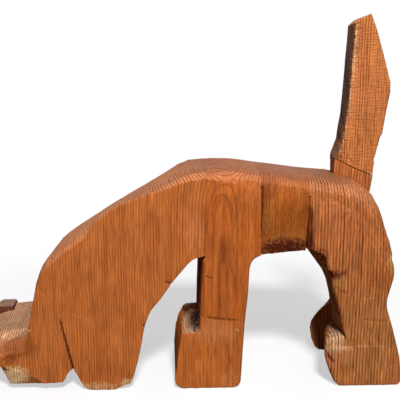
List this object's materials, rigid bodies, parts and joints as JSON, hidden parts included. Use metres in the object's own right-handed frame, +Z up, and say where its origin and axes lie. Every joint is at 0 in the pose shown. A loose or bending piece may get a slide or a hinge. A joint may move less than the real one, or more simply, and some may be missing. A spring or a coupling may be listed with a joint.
{
  "type": "carved wooden dog figurine",
  "caption": "Folk-art sniffing hound carved from glued redwood blocks, nose to the ground and tail upright.",
  "frame": {"origin": "On the ground, in the middle of the length and of the width.", "axes": "+X from the nose to the tail, +Y to the dog's right side, +Z up."},
  "size_m": [0.298, 0.088, 0.2602],
  "materials": {
    "redwood_head": "sawn and oiled, satin",
    "dark_wood_nose": "sawn, dull",
    "redwood_shoulder": "sawn and oiled, satin",
    "redwood_feet": "sawn and oiled, satin",
    "redwood_waist": "sawn and oiled, satin",
    "redwood_haunch": "weathered, dull",
    "redwood_tail": "sawn, satin",
    "beech_dowel": "smooth, dull"
  },
  "bodies": {
    "root": {"head_neck_block": "redwood_head", "nose": "dark_wood_nose", "shoulder_block": "redwood_shoulder", "front_foot_left": "redwood_feet", "front_foot_right": "redwood_feet", "waist_block": "redwood_waist", "haunch_block": "redwood_haunch", "tail": "redwood_tail", "dowel_neck_left": "beech_dowel", "dowel_neck_right": "beech_dowel", "dowel_waist_left": "beech_dowel", "dowel_waist_right": "beech_dowel", "dowel_haunch_left": "beech_dowel", "dowel_haunch_right": "beech_dowel", "dowel_tail": "beech_dowel", "peg_nose": "beech_dowel", "peg_front_foot_left": "beech_dowel", "peg_front_foot_right": "beech_dowel"}
  },
  "joints": []
}
